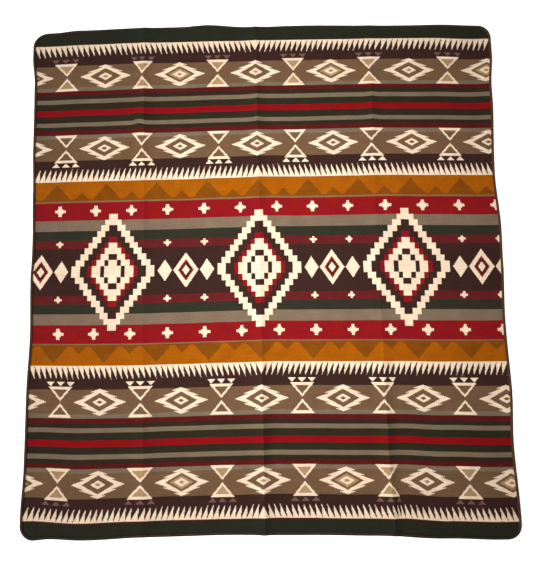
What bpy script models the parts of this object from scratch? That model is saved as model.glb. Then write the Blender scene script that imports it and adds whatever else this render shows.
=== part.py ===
"""Woven wool blanket with a bound edge, laid out flat on its back with the creases of its last folding.

Metres, +Z up. +X runs across the blanket along its stripes, +Y up its length. The origin is on the floor under
the middle. The sheet and its binding are drawn flat first, then both are laid by the same three rules: the run
of the edges, the creases and the small lifts of the edge.
"""

from collections import namedtuple
from math import ceil

import bmesh
import bpy

# The flat blanket, binding included
WIDTH = 2.250
LENGTH = 2.440
CORNER_RADIUS = 0.065
CORNER_STEPS = 5

# The cloth, and the tape that is folded over its edge
CLOTH = 0.003
TAPE = 0.001
TAPE_REACH = 0.013
TAPE_ROUND = 0.0012
GAP = 0.0003
EDGE_HEIGHT = CLOTH + 2 * TAPE + 2 * GAP
FOLD = TAPE + GAP
SETTLE = 0.075  # from the edge to where the cloth lies on the floor itself

# The grid of the sheet: fine across a crease, wide elsewhere
LONGEST_CELL = 0.110
CREASE_STEPS = (-1.0, -0.62, -0.34, -0.14, 0.0, 0.14, 0.34, 0.62, 1.0)

# How far each edge stands out from the plain rectangle: place along the edge, distance outwards
EDGE_RUN = {
    "left": (
        (-1.12, 0.003),
        (-0.90, -0.006),
        (-0.58, -0.007),
        (-0.29, -0.014),
        (-0.05, -0.008),
        (0.13, -0.011),
        (0.40, -0.005),
        (0.61, 0.000),
        (0.95, 0.005),
        (1.10, 0.0178),
    ),
    "right": (
        (-1.15, 0.0178),
        (-0.79, 0.0035),
        (-0.60, 0.0095),
        (-0.24, 0.000),
        (0.00, 0.006),
        (0.18, 0.008),
        (0.45, -0.007),
        (0.80, 0.002),
        (0.90, 0.000),
        (1.07, 0.013),
    ),
    "bottom": (
        (-1.08, -0.001),
        (-0.99, -0.007),
        (-0.85, 0.000),
        (-0.55, -0.011),
        (-0.20, -0.016),
        (0.15, -0.012),
        (0.50, -0.005),
        (0.80, 0.009),
        (1.02, 0.018),
    ),
    "top": (
        (-1.12, -0.018),
        (-1.03, -0.010),
        (-0.90, 0.002),
        (-0.60, 0.011),
        (-0.38, 0.012),
        (-0.27, 0.018),
        (-0.05, 0.007),
        (0.22, 0.011),
        (0.65, 0.004),
        (0.85, 0.002),
        (1.08, -0.004),
    ),
}
EDGE_FADE = 0.50  # how far in the cloth still follows its edge

# The creases, all ridges. place: its line on the flat cloth. drift: how far the laid crease is off that line.
# height: the ridge's height. Both are tables along the crease. before and after: the width of each flank.
Crease = namedtuple("Crease", "place drift height before after")
UPRIGHT_CREASES = (
    Crease(
        place=-0.578,
        drift=((-1.20, 0.010), (0.00, 0.000), (1.20, -0.010)),
        height=((-1.20, 0.003), (-0.80, 0.005), (-0.20, 0.003), (0.30, 0.004), (0.80, 0.007), (1.20, 0.004)),
        before=0.085,
        after=0.060,
    ),
    Crease(
        place=-0.023,
        drift=((-1.20, 0.007), (0.00, 0.001), (1.20, -0.009)),
        height=((-1.20, 0.008), (-0.80, 0.010), (-0.25, 0.007), (0.25, 0.005), (0.80, 0.007), (1.20, 0.005)),
        before=0.080,
        after=0.055,
    ),
    Crease(
        place=0.545,
        drift=((-1.20, 0.025), (-0.80, 0.007), (0.20, -0.009), (1.20, -0.011)),
        height=((-1.20, 0.007), (-0.75, 0.009), (-0.20, 0.005), (0.30, 0.003), (0.80, 0.006), (1.20, 0.003)),
        before=0.090,
        after=0.065,
    ),
)
LEVEL_CREASES = (
    Crease(
        place=-0.010,
        drift=((-1.10, -0.004), (1.10, 0.004)),
        height=((-1.10, 0.003), (-0.40, 0.002), (0.10, 0.004), (0.60, 0.003), (1.10, 0.002)),
        before=0.060,
        after=0.060,
    ),
)

# Where the edge stands a little off the floor
Lift = namedtuple("Lift", "side middle half_length height reach")
LIFTS = (
    Lift("right", 0.90, 0.26, 0.007, 0.16),
    Lift("right", -0.62, 0.24, 0.004, 0.12),
    Lift("left", 0.62, 0.24, 0.004, 0.13),
    Lift("left", -0.55, 0.28, 0.003, 0.12),
    Lift("top", -0.27, 0.17, 0.005, 0.13),
    Lift("top", 0.88, 0.18, 0.004, 0.12),
    Lift("bottom", 0.72, 0.24, 0.005, 0.14),
    Lift("bottom", -0.72, 0.20, 0.003, 0.12),
)

WOOL_COLOUR = (0.178, 0.093, 0.050, 1.0)
BINDING_COLOUR = (0.069, 0.042, 0.016, 1.0)


def clear_scene():
    for obj in list(bpy.data.objects):
        bpy.data.objects.remove(obj, do_unlink=True)


def named_collection(name):
    collection = bpy.data.collections.new(name)
    bpy.context.scene.collection.children.link(collection)
    return collection


def plain_material(name, colour, roughness):
    material = bpy.data.materials.new(name)
    material.use_nodes = True
    shader = material.node_tree.nodes["Principled BSDF"]
    shader.inputs["Base Color"].default_value = colour
    shader.inputs["Roughness"].default_value = roughness
    shader.inputs["Metallic"].default_value = 0.0
    return material


def follow(table, place):
    """The value of a short table at a place, eased from row to row and level beyond its ends."""
    if place <= table[0][0]:
        return table[0][1]
    for (start, low), (end, high) in zip(table, table[1:]):
        if place <= end:
            part = (place - start) / (end - start)
            return low + (high - low) * part * part * (3 - 2 * part)
    return table[-1][1]


def shifted(place, along, half, before_edge, after_edge, creases):
    """A coordinate of the flat cloth as it is laid: it follows the two edges near them and the creases between."""
    stations = [(-half, -follow(EDGE_RUN[before_edge], along)), (-half + EDGE_FADE, 0.0)]
    stations += [(crease.place, follow(crease.drift, along)) for crease in creases]
    stations += [(half - EDGE_FADE, 0.0), (half, follow(EDGE_RUN[after_edge], along))]
    return place + follow(sorted(stations), place)


def crease_height(crease, across, along):
    """A ridge: steepest at its crest, and flat where it meets the floor."""
    offset = across - crease.place
    flank = crease.before if offset < 0 else crease.after
    rest = max(0.0, 1.0 - abs(offset) / flank)
    return follow(crease.height, along) * rest * rest


def lift_height(lift, x, y):
    along = y if lift.side in ("left", "right") else x
    inwards = {
        "left": x + WIDTH / 2,
        "right": WIDTH / 2 - x,
        "bottom": y + LENGTH / 2,
        "top": LENGTH / 2 - y,
    }[lift.side]
    off_middle = min(1.0, abs(along - lift.middle) / lift.half_length)
    rest = min(1.0, max(0.0, 1.0 - (inwards - TAPE_REACH) / lift.reach))
    return lift.height * (1.0 - off_middle**2) ** 2 * rest * rest


def relief(x, y):
    """How far the underside of the laid blanket stands off the floor at a place of the flat one."""
    height = sum(crease_height(crease, x, y) for crease in UPRIGHT_CREASES)
    height += sum(crease_height(crease, y, x) for crease in LEVEL_CREASES)
    return height + sum(lift_height(lift, x, y) for lift in LIFTS)


def lay(mesh):
    """Moves each point of a flat piece to where it is on the laid blanket."""
    for vert in mesh.verts:
        x, y, z = vert.co
        vert.co.x = shifted(x, y, WIDTH / 2, "left", "right", UPRIGHT_CREASES)
        vert.co.y = shifted(y, x, LENGTH / 2, "bottom", "top", LEVEL_CREASES)
        vert.co.z = z + relief(x, y)


def grid_lines(half, creases):
    """Where the lines of the sheet's grid run from one edge to the other."""
    lines = [-half, -half + SETTLE, half - SETTLE, half]
    for crease in creases:
        for step in CREASE_STEPS:
            lines.append(crease.place + step * (crease.before if step < 0 else crease.after))
    lines.sort()
    filled = lines[:1]
    for start, end in zip(lines, lines[1:]):
        cells = ceil((end - start) / LONGEST_CELL)
        filled += [start + (end - start) * cell / cells for cell in range(1, cells + 1)]
    return filled


def flat_sheet():
    """The flat cloth as one surface with rounded corners. Its outer ring of faces is as wide as the tape."""
    columns = grid_lines(WIDTH / 2 - FOLD, UPRIGHT_CREASES)
    rows = grid_lines(LENGTH / 2 - FOLD, LEVEL_CREASES)
    sheet = bmesh.new()
    bmesh.ops.create_grid(sheet, x_segments=len(columns) - 1, y_segments=len(rows) - 1, size=1.0)
    for vert in sheet.verts:
        vert.co.x = columns[round((vert.co.x + 1) / 2 * (len(columns) - 1))]
        vert.co.y = rows[round((vert.co.y + 1) / 2 * (len(rows) - 1))]
    bmesh.ops.bevel(
        sheet,
        geom=[vert for vert in sheet.verts if len(vert.link_edges) == 2],
        offset=CORNER_RADIUS - FOLD,
        segments=CORNER_STEPS,
        profile=0.5,
        affect="VERTICES",
    )
    bmesh.ops.inset_region(
        sheet,
        faces=sheet.faces[:],
        thickness=TAPE_REACH - FOLD,
        use_boundary=True,
        use_even_offset=True,
    )
    return sheet


def rim_stations(sheet):
    """The outline of the flat sheet in order, each point with the one across the outer ring from it."""
    start = next(vert for vert in sheet.verts if vert.is_boundary)
    stations = []
    here, last = start, None
    while last is None or here is not start:
        edges = here.link_edges
        inner = next(edge.other_vert(here) for edge in edges if not edge.is_boundary)
        stations.append((here.co.copy(), inner.co.copy()))
        nexts = [edge.other_vert(here) for edge in edges if edge.is_boundary]
        here, last = next(vert for vert in nexts if vert is not last), here
    return stations


def raise_sheet(sheet):
    """Lifts the flat sheet's outer ring onto the lower leaf of the tape and gives the sheet its thickness."""
    for vert in sheet.verts:
        if any(edge.other_vert(vert).is_boundary for edge in vert.link_edges):
            vert.co.z = FOLD
    upper = bmesh.ops.extrude_face_region(sheet, geom=sheet.faces[:], use_keep_orig=True)
    for vert in [item for item in upper["geom"] if isinstance(item, bmesh.types.BMVert)]:
        vert.co.z += CLOTH


def tape_section():
    """The folded tape cut across: distance in from the blanket's edge, height over the floor."""
    top = EDGE_HEIGHT
    return (
        (TAPE_REACH, 0.0),
        (TAPE_ROUND, 0.0),
        (0.0, TAPE_ROUND),
        (0.0, top - TAPE_ROUND),
        (TAPE_ROUND, top),
        (TAPE_REACH, top),
        (TAPE_REACH, top - TAPE),
        (TAPE, top - TAPE),
        (TAPE, TAPE),
        (TAPE_REACH, TAPE),
    )


def flat_tape(stations):
    """The tape's section carried round the outline as one closed loop."""
    tape = bmesh.new()
    rings = []
    for outer, inner in stations:
        outwards = (outer - inner).normalized()
        ring = []
        for inwards, height in tape_section():
            point = outer + outwards * (FOLD - inwards)
            point.z = height
            ring.append(tape.verts.new(point))
        rings.append(ring)
    for ring, after in zip(rings, rings[1:] + rings[:1]):
        for k in range(len(ring)):
            tape.faces.new((ring[k - 1], ring[k], after[k], after[k - 1]))
    return tape


def add_piece(name, mesh, collection, material):
    bmesh.ops.recalc_face_normals(mesh, faces=mesh.faces[:])
    data = bpy.data.meshes.new(name)
    mesh.to_mesh(data)
    mesh.free()
    data.materials.append(material)
    collection.objects.link(bpy.data.objects.new(name, data))


def build_blanket():
    clear_scene()
    collection = named_collection("blanket")
    sheet = flat_sheet()
    tape = flat_tape(rim_stations(sheet))
    raise_sheet(sheet)
    lay(sheet)
    lay(tape)
    add_piece("field", sheet, collection, plain_material("woven_wool", WOOL_COLOUR, 0.95))
    add_piece("binding", tape, collection, plain_material("felt_binding", BINDING_COLOUR, 0.90))


build_blanket()
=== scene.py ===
"""Woven wool blanket with a felt-bound edge, laid out flat on a pale floor under soft studio light.

Metres, +Z up. +X runs across the blanket along its stripes, +Y up its length, and the origin is on the
floor under the middle. The sheet and its tape are drawn flat first, then laid by the same rules as the
solids: the run of the edges, the creases of the last folding and the small lifts of the edge. The sheet
keeps its flat coordinates as its UV map, in which the stripes and figures are woven.
"""

from collections import namedtuple
from math import atan2, ceil, hypot, pi

import bpy
import numpy as np
from mathutils import Matrix, Vector


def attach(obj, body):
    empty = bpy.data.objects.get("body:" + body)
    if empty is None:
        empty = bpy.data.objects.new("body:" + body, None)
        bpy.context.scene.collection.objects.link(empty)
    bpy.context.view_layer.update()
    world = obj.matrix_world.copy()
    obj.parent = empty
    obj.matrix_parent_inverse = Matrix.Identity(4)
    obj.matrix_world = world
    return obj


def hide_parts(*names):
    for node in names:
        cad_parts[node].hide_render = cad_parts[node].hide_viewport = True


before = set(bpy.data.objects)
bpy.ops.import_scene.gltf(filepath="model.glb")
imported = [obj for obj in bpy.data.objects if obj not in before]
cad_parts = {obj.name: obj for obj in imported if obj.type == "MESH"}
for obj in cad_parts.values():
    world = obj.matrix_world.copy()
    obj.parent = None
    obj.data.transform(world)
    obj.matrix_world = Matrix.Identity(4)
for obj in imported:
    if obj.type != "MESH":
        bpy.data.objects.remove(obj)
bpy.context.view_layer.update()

# The flat blanket, binding included
WIDTH = 2.250
LENGTH = 2.440
CORNER_RADIUS = 0.065

# The cloth, and the tape that is folded over its edge
CLOTH = 0.003
TAPE = 0.001
TAPE_REACH = 0.013
EDGE_HEIGHT = 0.0056
FOLD = 0.0013  # how high the tape holds the cloth off the floor
SETTLE = 0.075  # from the edge to where the cloth lies on the floor itself
RAW_EDGE = 0.0025  # from the blanket's edge to the cloth's own, inside the fold
PRESSED = 0.72  # the share of its thickness that the cloth keeps inside the tape

# How far each edge stands out from the plain rectangle: place along the edge, distance outwards
EDGE_RUN = {
    "left": (
        (-1.12, 0.003),
        (-0.90, -0.006),
        (-0.58, -0.007),
        (-0.29, -0.014),
        (-0.05, -0.008),
        (0.13, -0.011),
        (0.40, -0.005),
        (0.61, 0.000),
        (0.95, 0.005),
        (1.10, 0.0178),
    ),
    "right": (
        (-1.15, 0.0178),
        (-0.79, 0.0035),
        (-0.60, 0.0095),
        (-0.24, 0.000),
        (0.00, 0.006),
        (0.18, 0.008),
        (0.45, -0.007),
        (0.80, 0.002),
        (0.90, 0.000),
        (1.07, 0.013),
    ),
    "bottom": (
        (-1.08, -0.001),
        (-0.99, -0.007),
        (-0.85, 0.000),
        (-0.55, -0.011),
        (-0.20, -0.016),
        (0.15, -0.012),
        (0.50, -0.005),
        (0.80, 0.009),
        (1.02, 0.018),
    ),
    "top": (
        (-1.12, -0.018),
        (-1.03, -0.010),
        (-0.90, 0.002),
        (-0.60, 0.011),
        (-0.38, 0.012),
        (-0.27, 0.018),
        (-0.05, 0.007),
        (0.22, 0.011),
        (0.65, 0.004),
        (0.85, 0.002),
        (1.08, -0.004),
    ),
}
EDGE_FADE = 0.50  # how far in the cloth still follows its edge

# The creases, all ridges. place: its line on the flat cloth. drift: how far the laid crease is off that
# line. height: the ridge's height. Both are tables along the crease. before and after: the flanks' widths.
Crease = namedtuple("Crease", "place drift height before after")
UPRIGHT_CREASES = (
    Crease(
        place=-0.578,
        drift=((-1.20, 0.010), (0.00, 0.000), (1.20, -0.010)),
        height=((-1.20, 0.003), (-0.80, 0.005), (-0.20, 0.003), (0.30, 0.004), (0.80, 0.007), (1.20, 0.004)),
        before=0.085,
        after=0.060,
    ),
    Crease(
        place=-0.023,
        drift=((-1.20, 0.007), (0.00, 0.001), (1.20, -0.009)),
        height=((-1.20, 0.008), (-0.80, 0.010), (-0.25, 0.007), (0.25, 0.005), (0.80, 0.007), (1.20, 0.005)),
        before=0.080,
        after=0.055,
    ),
    Crease(
        place=0.545,
        drift=((-1.20, 0.025), (-0.80, 0.007), (0.20, -0.009), (1.20, -0.011)),
        height=((-1.20, 0.007), (-0.75, 0.009), (-0.20, 0.005), (0.30, 0.003), (0.80, 0.006), (1.20, 0.003)),
        before=0.090,
        after=0.065,
    ),
)
LEVEL_CREASES = (
    Crease(
        place=-0.010,
        drift=((-1.10, -0.004), (1.10, 0.004)),
        height=((-1.10, 0.003), (-0.40, 0.002), (0.10, 0.004), (0.60, 0.003), (1.10, 0.002)),
        before=0.060,
        after=0.060,
    ),
)

# Where the edge stands a little off the floor
Lift = namedtuple("Lift", "side middle half_length height reach")
LIFTS = (
    Lift("right", 0.90, 0.26, 0.007, 0.16),
    Lift("right", -0.62, 0.24, 0.004, 0.12),
    Lift("left", 0.62, 0.24, 0.004, 0.13),
    Lift("left", -0.55, 0.28, 0.003, 0.12),
    Lift("top", -0.27, 0.17, 0.005, 0.13),
    Lift("top", 0.88, 0.18, 0.004, 0.12),
    Lift("bottom", 0.72, 0.24, 0.005, 0.14),
    Lift("bottom", -0.72, 0.20, 0.003, 0.12),
)

# Softness that the solids leave out: low waves in the field of the cloth, and the pull of the sewing
# along its edge
Wave = namedtuple("Wave", "across along phase height")  # waves in a metre each way
WAVES = (
    Wave(across=1.9, along=0.7, phase=0.4, height=0.0009),
    Wave(across=-1.1, along=2.3, phase=1.9, height=0.0008),
    Wave(across=3.4, along=-1.6, phase=4.1, height=0.0005),
    Wave(across=5.3, along=4.1, phase=2.6, height=0.0003),
)
WAVE_RISE = 0.12  # from the tape to where the waves have their full height
PUCKER = 0.0005
PUCKER_PITCH = 0.058
PUCKER_STRAY = (1.7, 9.0)  # how far the puckers stray from that pitch and how soon they turn, in radians
PUCKER_REACH = 0.080
PUCKER_END = 0.10  # no puckers this near a corner

# The run of the stripes: how far up the laid blanket they are carried, in millimetres. Rows are places
# along the blanket, columns places across it.
RUN_ACROSS = (-1.09, -0.86, -0.62, -0.42, -0.19, 0.03, 0.16, 0.42, 0.60, 0.82, 1.04)
STRIPE_RUN = (
    (-1.14, (10, -4, 3, 7, 9, 12, 10, 4, 2, -12, -18)),
    (-0.79, (8, 0, 1, 5, 9, 12, 10, 6, 4, -6, -12)),
    (-0.44, (6, 2, 1, 4, 8, 12, 10, 7, 5, 0, -2)),
    (0.00, (1, 1, 1, 4, 8, 12, 10, 9, 9, 5, 1)),
    (0.45, (-4, 0, 2, 4, 8, 12, 10, 11, 12, 8, 4)),
    (0.80, (-8, -3, 2, 4, 8, 11, 10, 13, 12, 8, 3)),
    (1.15, (-8, 0, 6, 6, 8, 10, 10, 10, 10, 8, 0)),
)
Ruck = namedtuple("Ruck", "across along half_width half_length rise")  # a crease pushes the stripes up
RUCKS = (
    Ruck(-0.612, 0.755, 0.036, 0.110, 0.008),
    Ruck(-0.028, 0.790, 0.032, 0.110, 0.003),
    Ruck(0.536, 0.800, 0.036, 0.130, 0.004),
)

# The grid of the sheet, and the lines added to it on both sides of a crest
CELL = 0.0128
CREST_LINES = (-0.018, -0.011, -0.006, -0.0025, 0.0025, 0.006, 0.011, 0.018)
RIM_STEP = 0.0065
TAPE_POINTS = 17  # across the tape's section

# The second UV map, through which the sheet's picture is baked. The spans across it of the upper side, the
# underside and the rim, and the margin at its ends.
BAKE_NAME = "OFBake"
BAKE_SPANS = ((0.003, 0.780), (0.786, 0.978), (0.984, 0.997))
BAKE_MARGIN = 0.003

# The sewing of the tape: a zigzag of thread over its two leaves
STITCH_LINE = 0.0080  # from the blanket's edge
STITCH_PITCH = 0.0080
STITCH_WIDTH = 0.0042
THREAD_RADIUS = 0.0006  # nearly twice the real thread's, so that the line of sewing shows
UNDER_THREAD = 0.0001  # the middle of a thread under the blanket, over the floor
THREAD_STEPS = 4
THREAD_SIDES = 5

# The weave
UV_NAME = "cloth"
PATTERN_MIDDLE = -0.029  # the figures mirror about this line across the blanket
WEAVE_STEP = 0.0032  # the edges of figures step by two threads
Stripe = namedtuple("Stripe", "width face back")  # width in millimetres, and the dye on each face
STRIPES = (
    Stripe(72, "spruce", "spruce"),
    Stripe(4, "maroon", "maroon"),
    Stripe(106, "aubergine", "cream"),
    Stripe(112, "taupe", "cream"),
    Stripe(19, "stone", "cream"),
    Stripe(20, "maroon", "bark"),
    Stripe(22, "bark", "maroon"),
    Stripe(22, "stone", "forest"),
    Stripe(33, "forest", "stone"),
    Stripe(30, "scarlet", "forest"),
    Stripe(34, "forest", "scarlet"),
    Stripe(21, "stone", "forest"),
    Stripe(21, "bark", "maroon"),
    Stripe(22, "maroon", "bark"),
    Stripe(20, "stone", "cream"),
    Stripe(111, "taupe", "cream"),
    Stripe(107, "aubergine", "cream"),
    Stripe(96, "ochre", "umber"),
    Stripe(8, "fawn", "crimson"),
    Stripe(88, "crimson", "cream"),
    Stripe(52, "ash", "cream"),
    Stripe(47, "moss", "cream"),
    Stripe(40, "wine", "cream"),
    Stripe(113, "aubergine", "cream"),
)
DYES = {
    "spruce": "#24251a",
    "forest": "#2a2418",
    "bark": "#2e2218",
    "moss": "#2d2b20",
    "maroon": "#551312",
    "wine": "#5d1a1a",
    "scarlet": "#850810",
    "crimson": "#831115",
    "aubergine": "#36201b",
    "taupe": "#6c5038",
    "stone": "#73644f",
    "fawn": "#7e6045",
    "ash": "#776451",
    "ochre": "#9b5202",
    "umber": "#7a4207",
    "cream": "#ebd1b4",
    "tan": "#a68460",
    "mauve": "#6e504a",
}
# The tape is one colour all round. Its dye is painted lighter on the right and darker on the left and at the
# two ends, as painted light and shade.
FELT_SHADED_LEFT = "#402714"
FELT_LIT_RIGHT = "#4b2d1b"
FELT_SHADED_ENDS = "#1f1d11"  # the tape of the two ends, painted darker still as painted shade
FELT_SHADE_TURN = (1.165, 1.215)  # from the middle, where the sides' painted light and shade gives way to the ends' darker painted shade
THREAD = "#5f4c36"

# The two borders of teeth. Each panel between them is mirrored about its own middle.
PANEL_MIDDLE = 0.426  # from the end of the blanket
TEETH_BASE = 0.350  # from the panel's middle
TEETH_SOLID = 0.002  # the strip that the teeth stand on
TEETH_HEIGHT = 0.060
TEETH_PITCH = 0.0260
TEETH_LEAN = 0.18  # how far a tip leans over, in pitches
TEETH_FILL = 0.97  # the width of a tooth's foot, in pitches

# The stepped hills of the ochre stripe
HILL_FOOT = 0.872  # from the end of the blanket
HILL_PITCH = 0.245
HILL_HEIGHT = 0.083
HILL_SLOPE = 1.13
SMALL_HILL_HEIGHT = 0.041  # of the hills between the large ones, with a slope of 1
HILL_GROUND = 0.005  # the strip that the hills stand on

# The figures of the taupe bands: barbed lozenges, and between them hourglasses of two triangles, each next
# to three small triangles. Widths and heights are halves.
FIGURES_AXIS = 0.184  # from the panel's middle
FIGURES_PITCH = 0.375
LOZENGE_WIDTH = 0.126
LOZENGE_HEIGHT = 0.0695
BARB_PITCH = LOZENGE_HEIGHT / 3
BARB_DEPTH = 0.20  # a share of the lozenge, as its rings are
LOZENGE_RINGS = (0.60, 0.44, 0.28, 0.12)
GLASS_TIP = 0.005  # the half gap between an hourglass's two tips
GLASS_SLOPE = 0.85
GLASS_BORDER = 0.0115
TRIANGLE_PITCH = FIGURES_PITCH / 8
TRIANGLE_ROW = 1.5 * TRIANGLE_PITCH  # half the row of three
TRIANGLE_TIP = 0.257  # from the panel's middle
TRIANGLE_BASE = 0.278
TRIANGLE_SLOPE = 0.95
AUBERGINE_START = 0.2435  # from the panel's middle

# The figures of the middle: stepped diamonds, with small lozenges and crosses between them. Widths and
# heights are halves. A ring's edge is a share of its figure.
DIAMOND_PITCH = 0.700
DIAMOND_WIDTH = 0.200
DIAMOND_HEIGHT = 0.280
DIAMOND_STEP = (0.020, 0.028)
Ring = namedtuple("Ring", "edge dye")
DIAMOND_RINGS = (
    Ring(1.01, "motif"),
    Ring(0.81, "aubergine"),
    Ring(0.61, "crimson"),
    Ring(0.51, "motif"),
    Ring(0.31, "aubergine"),
    Ring(0.21, "motif"),
)
CHAIN_WIDTH = 0.060
CHAIN_HEIGHT = 0.085
CHAIN_RINGS = (Ring(1.0, "motif"), Ring(0.62, "crimson"), Ring(0.48, "aubergine"), Ring(0.30, "motif"))
LINK_PLACE = 0.100  # from the middle of the chain to the small lozenge on each side
LINK_WIDTH = 0.034
LINK_HEIGHT = 0.052
CROSS_PITCH = 0.175
CROSS_PLACES = ((0.296, 0.026), (0.133, 0.017))  # from the middle line, half-length of an arm
CROSS_ARM = 0.28  # the arm's width as a share of its length
CROSS_HEART = 0.50  # the square at the crossing, as a share of the same length

OUT_OF_REACH = 9.0  # added to the distance of a figure where it is switched off

# The sizes of the patterns in the materials
STREAK = (0.143, 0.00476)  # a run of one lot of yarn, along the weft and across it
CLOUD = 0.0625  # from one lot of yarn to the next
NAP = 0.00909  # a tuft of the brushed nap
NAP_DEPTH = 0.0008
NAP_OVER_RIBS = 2.2  # how much the nap stands out beside the ribs
RIB_PITCH = 0.010833
RIB_STRAY = 0.25  # the ribs waver along the weft at this share of their pace across it
TUFT = 0.00303  # a knot of felted fibres
TUFT_DEPTH = 0.0006
UNEVEN_DYE = 0.040
PLY = 0.00154
PLY_DEPTH = 0.0002

SHEEN_ROUGHNESS = 0.6
NO_TURN = 0.5  # the hue setting that leaves a colour as it is
HUE_SWING = 0.012

# The studio. The floor is under the lowest thread.
WHITE = "#ffffff"
PAPER = "#f7f7f7"
FLOOR_DEPTH = -0.0007
FLOOR_HALF = 12.0
FLOOR_GLOW = 0.66
ROOM_GLOW = 0.10
Light = namedtuple("Light", "name place aim size power spread")
LIGHTS = (
    Light("overhead", (0.0, 0.1, 2.66), (0.0, 0.1, 0.0), (0.8, 2.4), power=23.5, spread=1.5),
    Light("from_left", (-14.4, -4.0, 4.9), (0.0, 0.0, 0.0), (3.5, 3.5), power=2900.0, spread=pi),
)
SENSOR = 36.0
LENS = 36.27
VIEW_PLACE = (0.0144, -0.3341, 2.5353)
VIEW_AHEAD = (-0.0036, 0.1087, -0.9941)
VIEW_UP = (0.0137, 0.994, 0.1087)

MATH = "ShaderNodeMath"
MIX = "ShaderNodeMix"
NOISE = "ShaderNodeTexNoise"


def linear(shade):
    """The linear colour of an sRGB hex value."""
    channels = [int(shade[k : k + 2], 16) / 255 for k in (1, 3, 5)]
    return [c / 12.92 if c <= 0.04045 else ((c + 0.055) / 1.055) ** 2.4 for c in channels] + [1.0]


def add_node(tree, kind, inputs=(), **settings):
    """Adds a node with its settings. inputs are in the order of its open sockets, or a dict by name: each is
    a value, None, a socket, or a node whose first open output is meant."""
    node = tree.nodes.new(kind)
    for name, setting in settings.items():
        setattr(node, name, setting)
    sockets = [socket for socket in node.inputs if socket.enabled]
    pairs = inputs.items() if isinstance(inputs, dict) else enumerate(inputs)
    for place, value in pairs:
        socket = node.inputs[place] if isinstance(inputs, dict) else sockets[place]
        if isinstance(value, bpy.types.Node):
            value = next(output for output in value.outputs if output.enabled)
        if isinstance(value, bpy.types.NodeSocket):
            tree.links.new(value, socket)
        elif value is not None:
            socket.default_value = value
    return node


def add_object(name, data):
    """A new object at the origin of the scene."""
    item = bpy.data.objects.new(name, data)
    bpy.context.scene.collection.objects.link(item)
    return item


# Laying the flat pieces


def eased(place, start, end):
    """0 up to the start and 1 from the end, with a soft rise between them."""
    part = np.clip((place - start) / (end - start), 0.0, 1.0)
    return part * part * (3.0 - 2.0 * part)


def follow(table, place):
    """The eased value of a table of (place, value) rows, level beyond its ends. Both may be arrays."""
    found = table[0][1]
    for (start, low), (end, high) in zip(table, table[1:]):
        found = found + (high - low) * eased(place, start, end)
    return found


def shifted(place, along, half, before_edge, after_edge, creases):
    """A coordinate of the flat cloth as it is laid: it follows each edge near it, and the creases between."""
    stations = [(-half, -follow(EDGE_RUN[before_edge], along)), (-half + EDGE_FADE, 0.0)]
    stations += [(crease.place, follow(crease.drift, along)) for crease in creases]
    stations += [(half - EDGE_FADE, 0.0), (half, follow(EDGE_RUN[after_edge], along))]
    return place + follow(sorted(stations, key=lambda station: station[0]), place)


def crease_height(crease, across, along):
    """A ridge: steepest at its crest, and flat where it meets the floor."""
    offset = across - crease.place
    flank = np.where(offset < 0, crease.before, crease.after)
    rest = np.maximum(0.0, 1.0 - np.abs(offset) / flank)
    return follow(crease.height, along) * rest * rest


def inwards_of(x, y):
    """How far in from each side a place is."""
    return {
        "left": x + WIDTH / 2,
        "right": WIDTH / 2 - x,
        "bottom": y + LENGTH / 2,
        "top": LENGTH / 2 - y,
    }


def lift_height(lift, x, y):
    """How far one lift of the edge holds the blanket off the floor."""
    along = y if lift.side in ("left", "right") else x
    inwards = inwards_of(x, y)[lift.side]
    off_middle = np.minimum(1.0, np.abs(along - lift.middle) / lift.half_length)
    rest = np.clip(1.0 - (inwards - TAPE_REACH) / lift.reach, 0.0, 1.0)
    return lift.height * (1.0 - off_middle**2) ** 2 * rest * rest


def softness(x, y):
    """The low waves of the field and the puckers of the edge, none of which goes below the floor."""
    sides = inwards_of(x, y)
    nearest = np.minimum.reduce(list(sides.values()))
    rise = eased(nearest, TAPE_REACH, TAPE_REACH + WAVE_RISE)
    height = 0.0
    for wave in WAVES:
        turn = 2 * pi * (wave.across * x + wave.along * y) + wave.phase
        height = height + wave.height * rise * (1.0 + np.sin(turn)) / 2
    stray, turning = PUCKER_STRAY
    for side, inwards in sides.items():
        upright = side in ("left", "right")
        along = y if upright else x
        end = (LENGTH if upright else WIDTH) / 2 - PUCKER_END
        free = np.clip((end - np.abs(along)) / PUCKER_END, 0.0, 1.0)
        rest = np.clip(1.0 - (inwards - TAPE_REACH) / PUCKER_REACH, 0.0, 1.0)
        turn = 2 * pi * along / PUCKER_PITCH + stray * np.sin(turning * along)
        height = height + PUCKER * free * rest * rest * (1.0 + np.sin(turn)) / 2
    return height


def relief(x, y):
    """How far the underside of the laid blanket stands off the floor at a place of the flat one."""
    height = sum(crease_height(crease, x, y) for crease in UPRIGHT_CREASES)
    height = height + sum(crease_height(crease, y, x) for crease in LEVEL_CREASES)
    height = height + sum(lift_height(lift, x, y) for lift in LIFTS)
    return height + softness(x, y)


def laid(x, y, z):
    """Where points of a flat piece are on the laid blanket."""
    return np.stack(
        (
            shifted(x, y, WIDTH / 2, "left", "right", UPRIGHT_CREASES),
            shifted(y, x, LENGTH / 2, "bottom", "top", LEVEL_CREASES),
            z + relief(x, y),
        ),
        axis=-1,
    )


def stripe_run(x, y):
    """How far up the laid blanket the stripes are carried at a place of it."""
    rows = [(along, follow(list(zip(RUN_ACROSS, row)), x) / 1000) for along, row in STRIPE_RUN]
    run = follow(rows, y)
    for ruck in RUCKS:
        aside = np.clip(np.abs(x - ruck.across) / ruck.half_width, 0.0, 1.0)
        ahead = np.clip(np.abs(y - ruck.along) / ruck.half_length, 0.0, 1.0)
        run = run + ruck.rise * (1.0 - aside**2) ** 2 * (1.0 - ahead**2) ** 2
    return run


# The sheet


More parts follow.
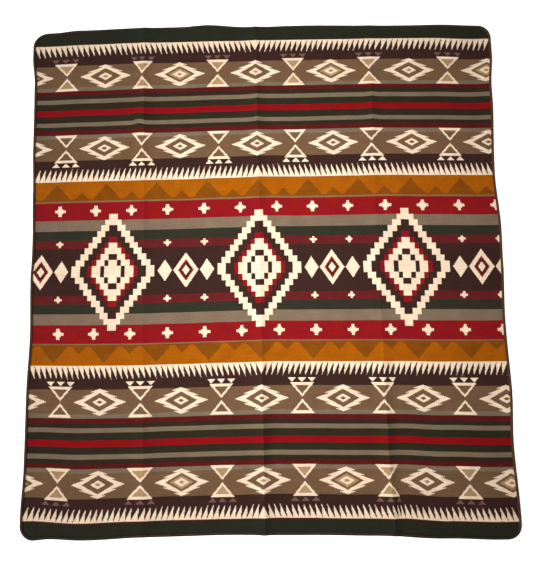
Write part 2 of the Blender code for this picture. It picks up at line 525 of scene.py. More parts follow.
def grid_lines(half, creases):
    """The lines of the sheet's grid from one edge to the other, close together at a crest."""
    lines = list(np.linspace(-half, half, ceil(2 * half / CELL) + 1))
    for crease in creases:
        spare = CREST_LINES[-1] + CELL / 3
        lines = [line for line in lines if abs(line - crease.place) > spare]
        lines += [crease.place + step for step in CREST_LINES] + [crease.place]
    return np.array(sorted(lines))


def rounded(x, y, half_width, half_length, radius):
    """Moves the points of a rectangle's corners in to a round corner."""
    over_x = np.clip((np.abs(x) - half_width + radius) / radius, 0.0, 1.0)
    over_y = np.clip((np.abs(y) - half_length + radius) / radius, 0.0, 1.0)
    new_x = np.abs(x) - radius * over_x * (1.0 - np.sqrt(1.0 - over_y**2 / 2))
    new_y = np.abs(y) - radius * over_y * (1.0 - np.sqrt(1.0 - over_x**2 / 2))
    return np.sign(x) * new_x, np.sign(y) * new_y


def edge_distance(x, y):
    """How far a place of the flat blanket is in from its rounded outline."""
    past_x = np.abs(x) - (WIDTH / 2 - CORNER_RADIUS)
    past_y = np.abs(y) - (LENGTH / 2 - CORNER_RADIUS)
    outside = np.hypot(np.maximum(past_x, 0.0), np.maximum(past_y, 0.0))
    return CORNER_RADIUS - outside - np.minimum(np.maximum(past_x, past_y), 0.0)


def sheet_faces(rows, columns):
    """The faces of a grid, of its copy below it, and of the strip that joins their rims."""
    place = np.arange(rows * columns).reshape(rows, columns)
    cells = (place[:-1, :-1], place[:-1, 1:], place[1:, 1:], place[1:, :-1])
    upper = np.stack(cells, axis=-1).reshape(-1, 4)
    lower = upper[:, ::-1] + rows * columns
    rim = np.concatenate((place[0, :-1], place[:-1, -1], place[-1, :0:-1], place[:0:-1, 0]))
    after = np.roll(rim, -1)
    strip = np.stack((rim + rows * columns, after + rows * columns, after, rim), axis=-1)
    return upper, lower, strip


def baked_corners(share, faces, counts):
    """The corners of each face on the map for baking. share holds each point's place across and along the
    cloth, from 0 to 1, and counts how many faces the upper side, the underside and the rim have."""
    upper, lower, rim = counts
    corners = share[faces % len(share)]
    corners[upper : upper + lower, :, 0] = 1.0 - corners[upper : upper + lower, :, 0]
    corners[upper + lower :, :, 0] = (1, 1, 0, 0)
    corners[upper + lower :, :, 1] = (np.arange(rim)[:, None] + (0, 1, 1, 0)) / rim
    starts, ends = np.repeat(BAKE_SPANS, counts, axis=0).T[:, :, None]
    corners[:, :, 0] = starts + (ends - starts) * corners[:, :, 0]
    corners[:, :, 1] = BAKE_MARGIN + (1.0 - 2 * BAKE_MARGIN) * corners[:, :, 1]
    return corners


def add_uv_map(mesh, name, corners):
    """Gives a mesh a map that holds the places of each face's corners."""
    layer = mesh.uv_layers.new(name=name)
    layer.data.foreach_set("uv", corners.astype(np.float32).reshape(-1))


def add_sheet(name, face, back):
    """The cloth: two laid grids and a rim, with the flat cloth as its UV map."""
    columns = grid_lines(WIDTH / 2 - RAW_EDGE, UPRIGHT_CREASES)
    rows = grid_lines(LENGTH / 2 - RAW_EDGE, LEVEL_CREASES)
    grid_x, grid_y = np.meshgrid(columns, rows)
    x, y = rounded(grid_x, grid_y, WIDTH / 2 - RAW_EDGE, LENGTH / 2 - RAW_EDGE, CORNER_RADIUS - RAW_EDGE)
    inwards = edge_distance(x, y)
    full = np.clip((inwards - TAPE_REACH) / TAPE_REACH, 0.0, 1.0)
    thickness = CLOTH * (PRESSED + (1.0 - PRESSED) * full)
    middle = FOLD * (1.0 - eased(inwards, TAPE_REACH, SETTLE)) + CLOTH / 2
    points = [laid(x, y, middle + side * thickness / 2).reshape(-1, 3) for side in (1, -1)]
    upper, lower, strip = sheet_faces(len(rows), len(columns))

    mesh = bpy.data.meshes.new(name)
    faces = np.concatenate((upper, lower, strip))
    mesh.from_pydata(np.concatenate(points).tolist(), [], faces.tolist())
    mesh.materials.append(face)
    mesh.materials.append(back)
    slots = np.zeros(len(faces), dtype=np.int32)
    slots[len(upper) : len(upper) + len(lower)] = 1
    mesh.polygons.foreach_set("material_index", slots)
    mesh.polygons.foreach_set("use_smooth", np.ones(len(faces), dtype=bool))

    along = points[0][:, 1] - stripe_run(points[0][:, 0], points[0][:, 1])
    woven = np.stack((x.reshape(-1) / WIDTH + 0.5, along / LENGTH + 0.5), axis=-1)
    share = np.stack((grid_x / np.ptp(columns), grid_y / np.ptp(rows)), axis=-1).reshape(-1, 2) + 0.5
    add_uv_map(mesh, UV_NAME, woven[faces % len(woven)])
    add_uv_map(mesh, BAKE_NAME, baked_corners(share, faces, (len(upper), len(lower), len(strip))))
    mesh.uv_layers.active = mesh.uv_layers[UV_NAME]
    mesh.uv_layers[UV_NAME].active_render = True
    mesh.update()
    return add_object(name, mesh)


# The tape and its stitches


def flat_rim(inset, spacing):
    """Points round the flat blanket, anticlockwise, at a distance in from its edge."""
    radius = CORNER_RADIUS - inset
    across = WIDTH / 2 - CORNER_RADIUS
    along = LENGTH / 2 - CORNER_RADIUS
    corners = ((across, along), (-across, along), (-across, -along), (across, -along))
    centres = [Vector(corner) for corner in corners]
    found = []
    for k, centre in enumerate(centres):
        steps = ceil(radius * pi / 2 / spacing)
        turns = [(k + step / steps) * pi / 2 for step in range(steps + 1)]
        bend = [radius * Vector((np.cos(turn), np.sin(turn))) for turn in turns]
        found += [centre + outwards for outwards in bend[:-1]]
        start, end = centre + bend[-1], centres[(k + 1) % 4] + bend[-1]
        steps = ceil((end - start).length / spacing)
        found += [start.lerp(end, step / steps) for step in range(steps)]
    return np.array(found)


def rim_path(inset, height):
    """A closed loop of edges along the laid blanket's edge, as the carrier of a node tree."""
    flat = flat_rim(inset, RIM_STEP)
    points = laid(flat[:, 0], flat[:, 1], height)
    mesh = bpy.data.meshes.new("rim_path")
    count = len(points)
    mesh.from_pydata(points.tolist(), [(k, (k + 1) % count) for k in range(count)], [])
    return add_object("rim_path", mesh)


def path_length(carrier):
    """How long a closed loop of edges is."""
    points = np.array([vert.co for vert in carrier.data.vertices])
    return float(np.linalg.norm(points - np.roll(points, 1, axis=0), axis=1).sum())


def new_tree(name, inputs):
    """A geometry node tree with a geometry input, named sizes and a geometry output."""
    tree = bpy.data.node_groups.new(name, "GeometryNodeTree")
    tree.interface.new_socket("Path", in_out="INPUT", socket_type="NodeSocketGeometry")
    for title, kind in inputs:
        tree.interface.new_socket(title, in_out="INPUT", socket_type=kind)
    tree.interface.new_socket("Geometry", in_out="OUTPUT", socket_type="NodeSocketGeometry")
    return tree, tree.nodes.new("NodeGroupInput").outputs


def finish_tree(tree, shape, material):
    """Ends a tree: its instances made real and its material set."""
    real = add_node(tree, "GeometryNodeRealizeInstances", {"Geometry": shape})
    dressed = add_node(tree, "GeometryNodeSetMaterial", {"Geometry": real, "Material": material})
    add_node(tree, "NodeGroupOutput", {"Geometry": dressed})


def folded_tape_tree(material):
    """Sweeps the outer face of a folded tape round a path: lower leaf, round fold and upper leaf."""
    sizes = (
        ("Reach", "NodeSocketFloat"),
        ("Fold Radius", "NodeSocketFloat"),
        ("Points Across", "NodeSocketInt"),
    )
    tree, given = new_tree("folded_tape", sizes)
    reach, radius = given["Reach"], given["Fold Radius"]
    line = add_node(tree, "GeometryNodeCurvePrimitiveLine")
    profile = add_node(tree, "GeometryNodeResampleCurve", {"Curve": line, "Count": given["Points Across"]})

    # The distance along the section from the lower leaf's edge, with its points closer together in the fold
    share = add_node(tree, "GeometryNodeSplineParameter").outputs["Factor"]
    signed = add_node(tree, MATH, (share, 2.0, -1.0), operation="MULTIPLY_ADD")
    size = add_node(tree, MATH, (signed,), operation="ABSOLUTE")
    gathered = add_node(tree, MATH, (signed, size, 1.0), operation="MULTIPLY_ADD")
    leaf = add_node(tree, MATH, (reach, radius), operation="SUBTRACT")
    arc = add_node(tree, MATH, (radius, pi), operation="MULTIPLY")
    half = add_node(tree, MATH, (arc, 0.5, leaf), operation="MULTIPLY_ADD")
    gone = add_node(tree, MATH, (gathered, half), operation="MULTIPLY")

    # How far round the fold that is, and how far along either leaf
    past = add_node(tree, MATH, (gone, leaf), operation="SUBTRACT")
    round_by = add_node(tree, MATH, (past, radius), operation="DIVIDE")
    not_before = add_node(tree, MATH, (round_by, 0.0), operation="MAXIMUM")
    angle = add_node(tree, MATH, (not_before, pi), operation="MINIMUM")
    short = add_node(tree, MATH, (leaf, gone), operation="SUBTRACT")
    on_lower = add_node(tree, MATH, (short, 0.0), operation="MAXIMUM")
    beyond = add_node(tree, MATH, (past, arc), operation="SUBTRACT")
    on_upper = add_node(tree, MATH, (beyond, 0.0), operation="MAXIMUM")
    leaves = add_node(tree, MATH, (on_lower, on_upper), operation="ADD")
    sine = add_node(tree, MATH, (angle,), operation="SINE")
    swing = add_node(tree, MATH, (sine, radius), operation="MULTIPLY")
    to_fold = add_node(tree, MATH, (radius, swing), operation="SUBTRACT")
    inwards = add_node(tree, MATH, (to_fold, leaves), operation="ADD")
    cosine = add_node(tree, MATH, (angle,), operation="COSINE")
    rise = add_node(tree, MATH, (cosine, radius), operation="MULTIPLY")
    height = add_node(tree, MATH, (radius, rise), operation="SUBTRACT")

    # A swept profile's X points away from the middle of an anticlockwise path, and its Y down
    outwards = add_node(tree, MATH, (inwards, -1.0), operation="MULTIPLY")
    down = add_node(tree, MATH, (height, -1.0), operation="MULTIPLY")
    place = add_node(tree, "ShaderNodeCombineXYZ", (outwards, down, 0.0))
    section = add_node(tree, "GeometryNodeSetPosition", {"Geometry": profile, "Position": place})
    rim = add_node(tree, "GeometryNodeMeshToCurve", {"Mesh": given["Path"]})
    level = add_node(tree, "GeometryNodeSetCurveNormal", {"Curve": rim}, mode="Z_UP")
    swept = add_node(tree, "GeometryNodeCurveToMesh", {"Curve": level, "Profile Curve": section})
    finish_tree(tree, add_node(tree, "GeometryNodeFlipFaces", {"Mesh": swept}), material)
    return tree


def zigzag_tree(material):
    """Lays short bowed lengths of thread along a path, each crossing it the other way from the last."""
    sizes = (
        ("Stitches", "NodeSocketInt"),
        ("Length", "NodeSocketFloat"),
        ("Turn", "NodeSocketFloat"),
        ("Thread Radius", "NodeSocketFloat"),
        ("Rise", "NodeSocketFloat"),
    )
    tree, given = new_tree("zigzag_stitches", sizes)
    rim = add_node(tree, "GeometryNodeMeshToCurve", {"Mesh": given["Path"]})
    places = add_node(tree, "GeometryNodeResampleCurve", {"Curve": rim, "Count": given["Stitches"]})

    # One length of thread: both ends dip into the felt. The rise is negative under the blanket.
    half = add_node(tree, MATH, (given["Length"], 0.5), operation="MULTIPLY")
    back = add_node(tree, MATH, (half, -1.0), operation="MULTIPLY")
    dip = add_node(tree, MATH, (given["Rise"], -1.0), operation="MULTIPLY")
    start = add_node(tree, "ShaderNodeCombineXYZ", (back, 0.0, dip))
    middle = add_node(tree, "ShaderNodeCombineXYZ", (0.0, 0.0, given["Rise"]))
    end = add_node(tree, "ShaderNodeCombineXYZ", (half, 0.0, dip))
    bent = {"Resolution": THREAD_STEPS, "Start": start, "Middle": middle, "End": end}
    bow = add_node(tree, "GeometryNodeCurveQuadraticBezier", bent)
    round_thread = {"Resolution": THREAD_SIDES, "Radius": given["Thread Radius"]}
    ring = add_node(tree, "GeometryNodeCurvePrimitiveCircle", round_thread)
    swept = {"Curve": bow, "Profile Curve": ring, "Fill Caps": True}
    thread = add_node(tree, "GeometryNodeCurveToMesh", swept)

    # Every other length leans the other way
    index = add_node(tree, "GeometryNodeInputIndex")
    odd = add_node(tree, MATH, (index, 2.0), operation="MODULO")
    side = add_node(tree, MATH, (odd, 2.0, -1.0), operation="MULTIPLY_ADD")
    lean = add_node(tree, MATH, (side, given["Turn"]), operation="MULTIPLY")
    turned = add_node(tree, "FunctionNodeAxisAngleToRotation", {"Axis": (0.0, 0.0, 1.0), "Angle": lean})
    tangent = add_node(tree, "GeometryNodeInputTangent")
    align = "FunctionNodeAlignRotationToVector"
    ahead = add_node(tree, align, {"Vector": tangent}, axis="X", pivot_axis="Z")
    sloped = add_node(tree, align, {"Rotation": ahead, "Vector": tangent}, axis="X", pivot_axis="Y")
    leaned = {"Rotation": sloped, "Rotate By": turned}
    way = add_node(tree, "FunctionNodeRotateRotation", leaned, rotation_space="LOCAL")
    sewn = {"Points": places, "Instance": thread, "Rotation": way}
    finish_tree(tree, add_node(tree, "GeometryNodeInstanceOnPoints", sewn), material)
    return tree


def grown(name, carrier, tree, sizes):
    """The plain mesh piece that a node tree makes from its carrier."""
    modifier = carrier.modifiers.new(tree.name, "NODES")
    modifier.node_group = tree
    for item in tree.interface.items_tree:
        if item.name in sizes:
            modifier[item.identifier] = sizes[item.name]
    graph = bpy.context.evaluated_depsgraph_get()
    mesh = bpy.data.meshes.new_from_object(carrier.evaluated_get(graph))
    bpy.data.objects.remove(carrier, do_unlink=True)
    mesh.name = name
    mesh.polygons.foreach_set("use_smooth", np.ones(len(mesh.polygons), dtype=bool))
    return add_object(name, mesh)


def add_tape(name, material):
    """The tape: its outer face is swept round the rim and then given its thickness on the inside."""
    sizes = {"Reach": TAPE_REACH, "Fold Radius": EDGE_HEIGHT / 2, "Points Across": TAPE_POINTS}
    tape = grown(name, rim_path(0.0, 0.0), folded_tape_tree(material), sizes)
    thicken = tape.modifiers.new("thickness", "SOLIDIFY")
    thicken.thickness = TAPE
    thicken.offset = -1.0
    return tape


def add_stitches(name, height, side, tree):
    """One face's line of zigzag sewing. side is 1 on top of the blanket and -1 under it."""
    carrier = rim_path(STITCH_LINE, height)
    half_pitch = STITCH_PITCH / 2
    sizes = {
        "Stitches": 2 * round(path_length(carrier) / STITCH_PITCH),
        "Length": hypot(half_pitch, STITCH_WIDTH),
        "Turn": atan2(STITCH_WIDTH, half_pitch),
        "Thread Radius": THREAD_RADIUS,
        "Rise": side * THREAD_RADIUS,
    }
    return grown(name, carrier, tree, sizes)


# Materials


def painted(tree, colour, distance, rings):
    """Paints nested forms over a colour, the outermost first: each has an edge and the dye inside it."""
    for edge, dye in rings:
        inside = add_node(tree, MATH, (distance, edge), operation="LESS_THAN")
        colour = add_node(tree, MIX, (inside, colour, dye), data_type="RGBA")
    return colour


def striped(tree, from_end, face):
    """The dye of each stripe of one face of the cloth, from the end of the blanket to its middle."""
    names = [stripe.face if face else stripe.back for stripe in STRIPES]
    colour = linear(DYES[names[0]])
    gone = 0
    for stripe, name in zip(STRIPES, names[1:]):
        gone += stripe.width
        inside = add_node(tree, MATH, (from_end, gone / 1000), operation="GREATER_THAN")
        colour = add_node(tree, MIX, (inside, colour, linear(DYES[name])), data_type="RGBA")
    return colour


def band_figures(tree, ground, motif, outwards, from_end):
    """The barbed lozenges and the triangles of the taupe bands, on their ground."""
    off_panel = add_node(tree, MATH, (from_end, PANEL_MIDDLE), operation="SUBTRACT")
    in_inner = add_node(tree, MATH, (off_panel, 0.0), operation="GREATER_THAN")
    from_panel = add_node(tree, MATH, (off_panel,), operation="ABSOLUTE")

    # The second weft: near the ends tan on taupe and mauve on aubergine. In the inner bands it isn't seen,
    # or is cream.
    tan, mauve = linear(DYES["tan"]), linear(DYES["mauve"])
    on_aubergine = add_node(tree, MATH, (from_panel, AUBERGINE_START), operation="GREATER_THAN")
    second = add_node(tree, MIX, (on_aubergine, tan, mauve), data_type="RGBA")
    fill = add_node(tree, MIX, (in_inner, second, ground), data_type="RGBA")
    small_fill = add_node(tree, MIX, (in_inner, second, motif), data_type="RGBA")

    # The lozenges. Every other one has a broad ring of the second weft.
    off_axis = add_node(tree, MATH, (from_panel, FIGURES_AXIS), operation="SUBTRACT")
    aside = add_node(tree, MATH, (off_axis,), operation="ABSOLUTE")
    from_lozenge = add_node(tree, MATH, (outwards, FIGURES_PITCH / 2), operation="PINGPONG")
    distance = add_node(tree, MATH, (aside, 1 / LOZENGE_HEIGHT), operation="MULTIPLY")
    distance = add_node(tree, MATH, (from_lozenge, 1 / LOZENGE_WIDTH, distance), operation="MULTIPLY_ADD")
    barb = add_node(tree, MATH, (aside, 1 / BARB_PITCH), operation="MULTIPLY")
    barb = add_node(tree, MATH, (barb,), operation="FRACT")
    barbed = add_node(tree, MATH, (barb, BARB_DEPTH, distance), operation="MULTIPLY_ADD")
    turn = add_node(tree, MATH, (outwards, FIGURES_PITCH), operation="PINGPONG")
    other = add_node(tree, MATH, (turn, FIGURES_PITCH / 2), operation="GREATER_THAN")
    ring = add_node(tree, MIX, (other, ground, fill), data_type="RGBA")
    colour = painted(tree, ground, barbed, ((1.0, motif),))
    colour = painted(tree, colour, distance, zip(LOZENGE_RINGS, (ground, ring, motif, fill)))

    # The hourglasses, and then the small triangles
    from_glass = add_node(tree, MATH, (FIGURES_PITCH / 2, from_lozenge), operation="SUBTRACT")
    past_tip = add_node(tree, MATH, (aside, GLASS_TIP), operation="SUBTRACT")
    flank = add_node(tree, MATH, (past_tip, -GLASS_SLOPE, from_glass), operation="MULTIPLY_ADD")
    base = add_node(tree, MATH, (aside, LOZENGE_HEIGHT), operation="SUBTRACT")
    glass = add_node(tree, MATH, (flank, base), operation="MAXIMUM")
    colour = painted(tree, colour, glass, ((0.0, motif), (-GLASS_BORDER, fill)))

    from_small = add_node(tree, MATH, (outwards, TRIANGLE_PITCH / 2), operation="PINGPONG")
    past_tip = add_node(tree, MATH, (from_panel, TRIANGLE_TIP), operation="SUBTRACT")
    flank = add_node(tree, MATH, (past_tip, -TRIANGLE_SLOPE, from_small), operation="MULTIPLY_ADD")
    base = add_node(tree, MATH, (from_panel, TRIANGLE_BASE), operation="SUBTRACT")
    small = add_node(tree, MATH, (flank, base), operation="MAXIMUM")
    beyond = add_node(tree, MATH, (from_glass, TRIANGLE_ROW), operation="GREATER_THAN")
    small = add_node(tree, MATH, (beyond, OUT_OF_REACH, small), operation="MULTIPLY_ADD")
    return painted(tree, colour, small, ((0.0, small_fill),))


def middle_figures(tree, colour, motif, outwards, from_middle):
    """The stepped diamonds of the middle, with small lozenges and crosses between them."""
    dyes = {"motif": motif, "crimson": linear(DYES["crimson"]), "aubergine": linear(DYES["aubergine"])}
    from_diamond = add_node(tree, MATH, (outwards, DIAMOND_PITCH / 2), operation="PINGPONG")

    # Small crosses in two rows, each with a square at its heart
    from_cross = add_node(tree, MATH, (outwards, CROSS_PITCH / 2), operation="PINGPONG")
    from_cross = add_node(tree, MATH, (CROSS_PITCH / 2, from_cross), operation="SUBTRACT")
    for row, arm in CROSS_PLACES:
        off_row = add_node(tree, MATH, (from_middle, row), operation="SUBTRACT")
        off_row = add_node(tree, MATH, (off_row,), operation="ABSOLUTE")
        longer = add_node(tree, MATH, (from_cross, off_row), operation="MAXIMUM")
        shorter = add_node(tree, MATH, (from_cross, off_row), operation="MINIMUM")
        narrow = add_node(tree, MATH, (shorter, 1 / CROSS_ARM), operation="MULTIPLY")
        arms = add_node(tree, MATH, (longer, narrow), operation="MAXIMUM")
        heart = add_node(tree, MATH, (longer, 1 / CROSS_HEART), operation="MULTIPLY")
        cross = add_node(tree, MATH, (arms, heart), operation="MINIMUM")
        colour = painted(tree, colour, cross, ((arm, motif),))

    # A chain of lozenges between two diamonds
    from_mid = add_node(tree, MATH, (DIAMOND_PITCH / 2, from_diamond), operation="SUBTRACT")
    tall = add_node(tree, MATH, (from_middle, 1 / CHAIN_HEIGHT), operation="MULTIPLY")
    lozenge = add_node(tree, MATH, (from_mid, 1 / CHAIN_WIDTH, tall), operation="MULTIPLY_ADD")
    colour = painted(tree, colour, lozenge, [(ring.edge, dyes[ring.dye]) for ring in CHAIN_RINGS])
    off_link = add_node(tree, MATH, (from_mid, LINK_PLACE), operation="SUBTRACT")
    off_link = add_node(tree, MATH, (off_link,), operation="ABSOLUTE")
    tall = add_node(tree, MATH, (from_middle, 1 / LINK_HEIGHT), operation="MULTIPLY")
    link = add_node(tree, MATH, (off_link, 1 / LINK_WIDTH, tall), operation="MULTIPLY_ADD")
    colour = painted(tree, colour, link, ((1.0, motif),))

    # The diamonds, on coordinates that step
    steps = []
    for place, step in ((from_diamond, DIAMOND_STEP[0]), (from_middle, DIAMOND_STEP[1])):
        whole = add_node(tree, MATH, (place, step), operation="SNAP")
        steps.append(add_node(tree, MATH, (whole, step / 2), operation="ADD"))
    distance = add_node(tree, MATH, (steps[1], 1 / DIAMOND_HEIGHT), operation="MULTIPLY")
    distance = add_node(tree, MATH, (steps[0], 1 / DIAMOND_WIDTH, distance), operation="MULTIPLY_ADD")
    return painted(tree, colour, distance, [(ring.edge, dyes[ring.dye]) for ring in DIAMOND_RINGS])


def teeth_and_hills(tree, colour, motif, hill, outwards, from_end):
    """The borders of leaning teeth, and the hills of the ochre stripe."""
    off_panel = add_node(tree, MATH, (from_end, PANEL_MIDDLE), operation="SUBTRACT")
    from_panel = add_node(tree, MATH, (off_panel,), operation="ABSOLUTE")
    start = (TEETH_BASE - TEETH_SOLID) / TEETH_HEIGHT
    height = add_node(tree, MATH, (from_panel, -1 / TEETH_HEIGHT, start), operation="MULTIPLY_ADD")
    leaned = add_node(tree, MATH, (outwards, 1 / TEETH_PITCH), operation="MULTIPLY")
    leaned = add_node(tree, MATH, (height, TEETH_LEAN, leaned), operation="MULTIPLY_ADD")
    across = add_node(tree, MATH, (leaned,), operation="FRACT")
    taper = add_node(tree, MATH, (height, TEETH_FILL, across), operation="MULTIPLY_ADD")
    beyond = add_node(tree, MATH, (from_panel, TEETH_BASE), operation="GREATER_THAN")
    tooth = add_node(tree, MATH, (beyond, OUT_OF_REACH, taper), operation="MULTIPLY_ADD")
    colour = painted(tree, colour, tooth, ((TEETH_FILL, motif),))

    rise = add_node(tree, MATH, (HILL_FOOT, from_end), operation="SUBTRACT")
    from_peak = add_node(tree, MATH, (outwards, HILL_PITCH / 2), operation="PINGPONG")
    large = add_node(tree, MATH, (from_peak, -HILL_SLOPE, HILL_HEIGHT), operation="MULTIPLY_ADD")
    small_start = SMALL_HILL_HEIGHT - HILL_PITCH / 2
    small = add_node(tree, MATH, (from_peak, small_start), operation="ADD")
    line = add_node(tree, MATH, (large, small), operation="MAXIMUM")
    line = add_node(tree, MATH, (line, HILL_GROUND), operation="MAXIMUM")
    over = add_node(tree, MATH, (rise, line), operation="SUBTRACT")
    below = add_node(tree, MATH, (rise, 0.0), operation="LESS_THAN")
    over = add_node(tree, MATH, (below, OUT_OF_REACH, over), operation="MULTIPLY_ADD")
    return painted(tree, colour, over, ((0.0, hill),))


def new_material(name, roughness, specular, sheen):
    """A material and its shader, with a finish that is the same all over."""
    material = bpy.data.materials.new(name)
    material.use_nodes = True
    shader = material.node_tree.nodes["Principled BSDF"]
    shader.inputs["Roughness"].default_value = roughness
    shader.inputs["Specular IOR Level"].default_value = specular
    shader.inputs["Sheen Weight"].default_value = sheen
    shader.inputs["Sheen Roughness"].default_value = SHEEN_ROUGHNESS
    return material, shader


def dye_and_raise(tree, shader, colour, swings, relief, strength, depth, hue=NO_TURN):
    """Dyes a shader unevenly and gives it a fine relief. swings: noises, and how far each swings the dye's
    brightness about its own."""
    value = 1.0 - sum(swing for noise, swing in swings) / 2
    for noise, swing in swings:
        value = add_node(tree, MATH, (noise, swing, value), operation="MULTIPLY_ADD")
    dyed = add_node(tree, "ShaderNodeHueSaturation", {"Hue": hue, "Value": value, "Color": colour})
    bump = add_node(tree, "ShaderNodeBump", {"Strength": strength, "Distance": depth, "Height": relief})
    tree.links.new(dyed.outputs[0], shader.inputs["Base Color"])
    tree.links.new(bump.outputs[0], shader.inputs["Normal"])


def jacquard_wool(name, face):
    """Lambswool double cloth, woven on a jacquard loom and brushed: a soft matt face whose two wefts swap
    places to draw the figures, so their edges step with the threads, and whose nap has a faint bloom."""
    material, shader = new_material(name, roughness=0.95, specular=0.06, sheen=0.02)
    tree = material.node_tree

    # The flat cloth in metres, centred, and its coordinates from the lines that the pattern mirrors about
    uv = add_node(tree, "ShaderNodeUVMap", uv_map=UV_NAME)
    metres = {"Vector": uv, "Location": (-WIDTH / 2, -LENGTH / 2, 0.0), "Scale": (WIDTH, LENGTH, 1.0)}
    flat = add_node(tree, "ShaderNodeMapping", metres)
    plain = add_node(tree, "ShaderNodeSeparateXYZ", (flat,))
    plain_middle = add_node(tree, MATH, (plain.outputs[1],), operation="ABSOLUTE")
    plain_end = add_node(tree, MATH, (LENGTH / 2, plain_middle), operation="SUBTRACT")
    stepped = add_node(tree, "ShaderNodeVectorMath", (flat, (WEAVE_STEP, WEAVE_STEP, 1.0)), operation="SNAP")
    split = add_node(tree, "ShaderNodeSeparateXYZ", (stepped,))
    across = add_node(tree, MATH, (split.outputs[0], PATTERN_MIDDLE), operation="SUBTRACT")
    outwards = add_node(tree, MATH, (across,), operation="ABSOLUTE")
    from_middle = add_node(tree, MATH, (split.outputs[1],), operation="ABSOLUTE")
    from_end = add_node(tree, MATH, (LENGTH / 2, from_middle), operation="SUBTRACT")

    # The figures show the weft that the ground hides: cream on the face, and the face's ground on the back
    ground = striped(tree, plain_end, face)
    motif = linear(DYES["cream"]) if face else striped(tree, plain_end, True)
    hill = linear(DYES["umber" if face else "ochre"])
    colour = band_figures(tree, ground, motif, outwards, from_end)
    colour = middle_figures(tree, colour, motif, outwards, from_middle)
    colour = teeth_and_hills(tree, colour, motif, hill, outwards, from_end)

    # Yarn of several lots lies in streaks and clouds, and the nap in tufts
    lot = (1 / STREAK[0], 1 / STREAK[1], 1.0)
    streaks_at = add_node(tree, "ShaderNodeMapping", {"Vector": flat, "Scale": lot})
    streaks = add_node(tree, NOISE, {"Vector": streaks_at, "Scale": 1.0, "Detail": 2.0})
    clouds = add_node(tree, NOISE, {"Vector": flat, "Scale": 1 / CLOUD, "Detail": 3.0})
    nap = add_node(tree, NOISE, {"Vector": flat, "Scale": 1 / NAP, "Detail": 3.0})
    hue = add_node(tree, MATH, (clouds, HUE_SWING, NO_TURN - HUE_SWING / 2), operation="MULTIPLY_ADD")

    # The weft ribs are 1.5 mm apart in the real cloth. They are drawn 11 mm apart and low, the finest that
    # shows here. A wave texture has ten waves in a metre for each pi of its scale.
    ribs_at = add_node(tree, "ShaderNodeMapping", {"Vector": flat, "Scale": (RIB_STRAY, 1.0, 1.0)})
    wavering = {"Distortion": 1.6, "Detail": 2.0, "Detail Scale": 3.0}
    rib_settings = {"Vector": ribs_at, "Scale": pi / 10 / RIB_PITCH, **wavering}
    ribs = add_node(tree, "ShaderNodeTexWave", rib_settings, bands_direction="Y")
    fuzz = add_node(tree, MATH, (nap, NAP_OVER_RIBS, ribs.outputs["Fac"]), operation="MULTIPLY_ADD")
    swings = ((streaks, 0.34), (clouds, 0.36), (nap, 0.38))
    dye_and_raise(tree, shader, colour, swings, relief=fuzz, strength=0.35, depth=NAP_DEPTH, hue=hue)
    return material


def wool_felt(name):
    """Pressed wool felt, cut into tape: no weave, matted fibres in every direction, and a dull surface."""
    material, shader = new_material(name, roughness=0.95, specular=0.06, sheen=0.03)
    tree = material.node_tree
    place = add_node(tree, "ShaderNodeTexCoord").outputs["Object"]

    # Its colour by place, as painted light and shade: lighter on the right side, darker on the left, darkest
    # at the two ends
    split = add_node(tree, "ShaderNodeSeparateXYZ", (place,))
    off_middle = add_node(tree, MATH, (split.outputs[1],), operation="ABSOLUTE")
    at_right = add_node(tree, MATH, (split.outputs[0], 0.0), operation="GREATER_THAN")
    at_end = add_node(tree, "ShaderNodeMapRange", (off_middle, *FELT_SHADE_TURN, 0.0, 1.0))
    colour = add_node(tree, MIX, (at_right, linear(FELT_SHADED_LEFT), linear(FELT_LIT_RIGHT)), data_type="RGBA")
    colour = add_node(tree, MIX, (at_end, colour, linear(FELT_SHADED_ENDS)), data_type="RGBA")

    # Fibres mat into tufts, and the dye takes unevenly over a few centimetres
    tufts = add_node(tree, NOISE, {"Vector": place, "Scale": 1 / TUFT, "Detail": 4.0})
    uneven = add_node(tree, NOISE, {"Vector": place, "Scale": 1 / UNEVEN_DYE, "Detail": 2.0})
    swings = ((tufts, 0.50), (uneven, 0.30))
    dye_and_raise(tree, shader, colour, swings, relief=tufts, strength=0.5, depth=TUFT_DEPTH)
    return material


def spun_thread(name):
    """Spun polyester sewing thread: plied, so it is ribbed along its length, with a slight gloss."""
    material, shader = new_material(name, roughness=0.65, specular=0.35, sheen=0.0)
    tree = material.node_tree
    place = add_node(tree, "ShaderNodeTexCoord").outputs["Object"]

    # The plies turn every 0.8 mm in the real thread. They are drawn twice as far apart, as it is thicker.
    plies = add_node(tree, NOISE, {"Vector": place, "Scale": 1 / PLY, "Detail": 1.0})
    dye_and_raise(tree, shader, linear(THREAD), ((plies, 0.5),), relief=plies, strength=0.4, depth=PLY_DEPTH)
    return material


# The studio


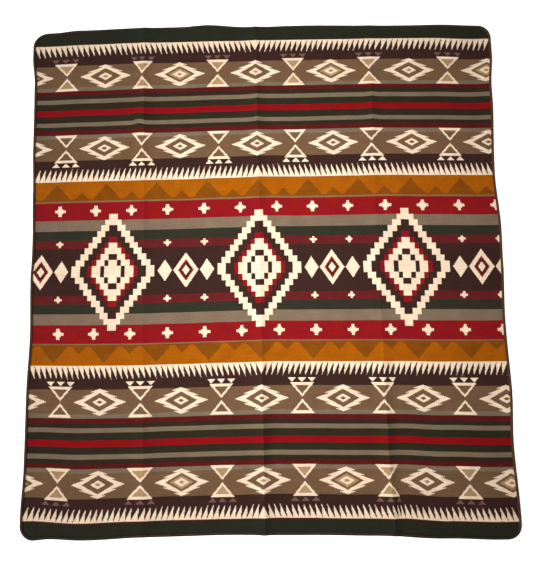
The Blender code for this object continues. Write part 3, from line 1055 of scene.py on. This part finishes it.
def add_floor():
    """A sheet of white background paper, matt, lit through from below and far larger than the view."""
    mesh = bpy.data.meshes.new("floor")
    corners = ((-1, -1), (1, -1), (1, 1), (-1, 1))
    points = [(x * FLOOR_HALF, y * FLOOR_HALF, FLOOR_DEPTH) for x, y in corners]
    mesh.from_pydata(points, [], [(0, 1, 2, 3)])
    material, shader = new_material("background_paper", roughness=0.9, specular=0.2, sheen=0.0)
    shader.inputs["Base Color"].default_value = linear(PAPER)
    shader.inputs["Emission Color"].default_value = linear(WHITE)
    shader.inputs["Emission Strength"].default_value = FLOOR_GLOW
    mesh.materials.append(material)
    floor = add_object("floor", mesh)


def add_studio():
    """A light overhead that falls off to the sides, a low one from the left that draws the creases, and the
    faint glow of a white room."""
    for light in LIGHTS:
        data = bpy.data.lights.new(light.name, "AREA")
        data.shape = "RECTANGLE"
        data.size, data.size_y = light.size
        data.energy = light.power
        data.spread = light.spread
        lamp = add_object(light.name, data)
        lamp.location = light.place
        ahead = Vector(light.aim) - Vector(light.place)
        lamp.rotation_euler = ahead.to_track_quat("-Z", "Y").to_euler()
        lamp.visible_camera = False
    world = bpy.data.worlds.new("surroundings")
    world.use_nodes = True
    background = world.node_tree.nodes["Background"]
    background.inputs["Color"].default_value = linear(WHITE)
    background.inputs["Strength"].default_value = ROOM_GLOW
    bpy.context.scene.world = world
    bpy.context.scene.view_settings.view_transform = "Standard"


def add_camera():
    """The photograph's view: from above, a little below the middle. The lens is for a 533 x 564 frame."""
    data = bpy.data.cameras.new("view")
    data.sensor_fit = "HORIZONTAL"
    data.sensor_width = SENSOR
    data.lens = LENS
    ahead = Vector(VIEW_AHEAD).normalized()
    right = ahead.cross(Vector(VIEW_UP)).normalized()
    turn = Matrix((right, right.cross(ahead), -ahead)).transposed().to_4x4()
    camera = add_object("view", data)
    camera.matrix_world = Matrix.Translation(VIEW_PLACE) @ turn
    bpy.context.scene.camera = camera


def build_blanket():
    """Makes the cloth, the tape and its two lines of sewing, hides the solids field and binding, and attaches
    the pieces to the body root.
    """
    thread = spun_thread("spun_polyester_thread")
    face = jacquard_wool("jacquard_wool", True)
    cloth = add_sheet("blanket_cloth", face, jacquard_wool("jacquard_wool_back", False))
    tape = add_tape("binding_tape", wool_felt("pressed_wool_felt"))
    zigzag = zigzag_tree(thread)
    upper = add_stitches("binding_stitches_upper", EDGE_HEIGHT, 1, zigzag)
    under = add_stitches("binding_stitches_under", UNDER_THREAD, -1, zigzag)
    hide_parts("field")
    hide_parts("binding")
    for piece in (cloth, tape, upper, under):
        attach(piece, "root")


add_floor()
add_studio()
add_camera()
build_blanket()
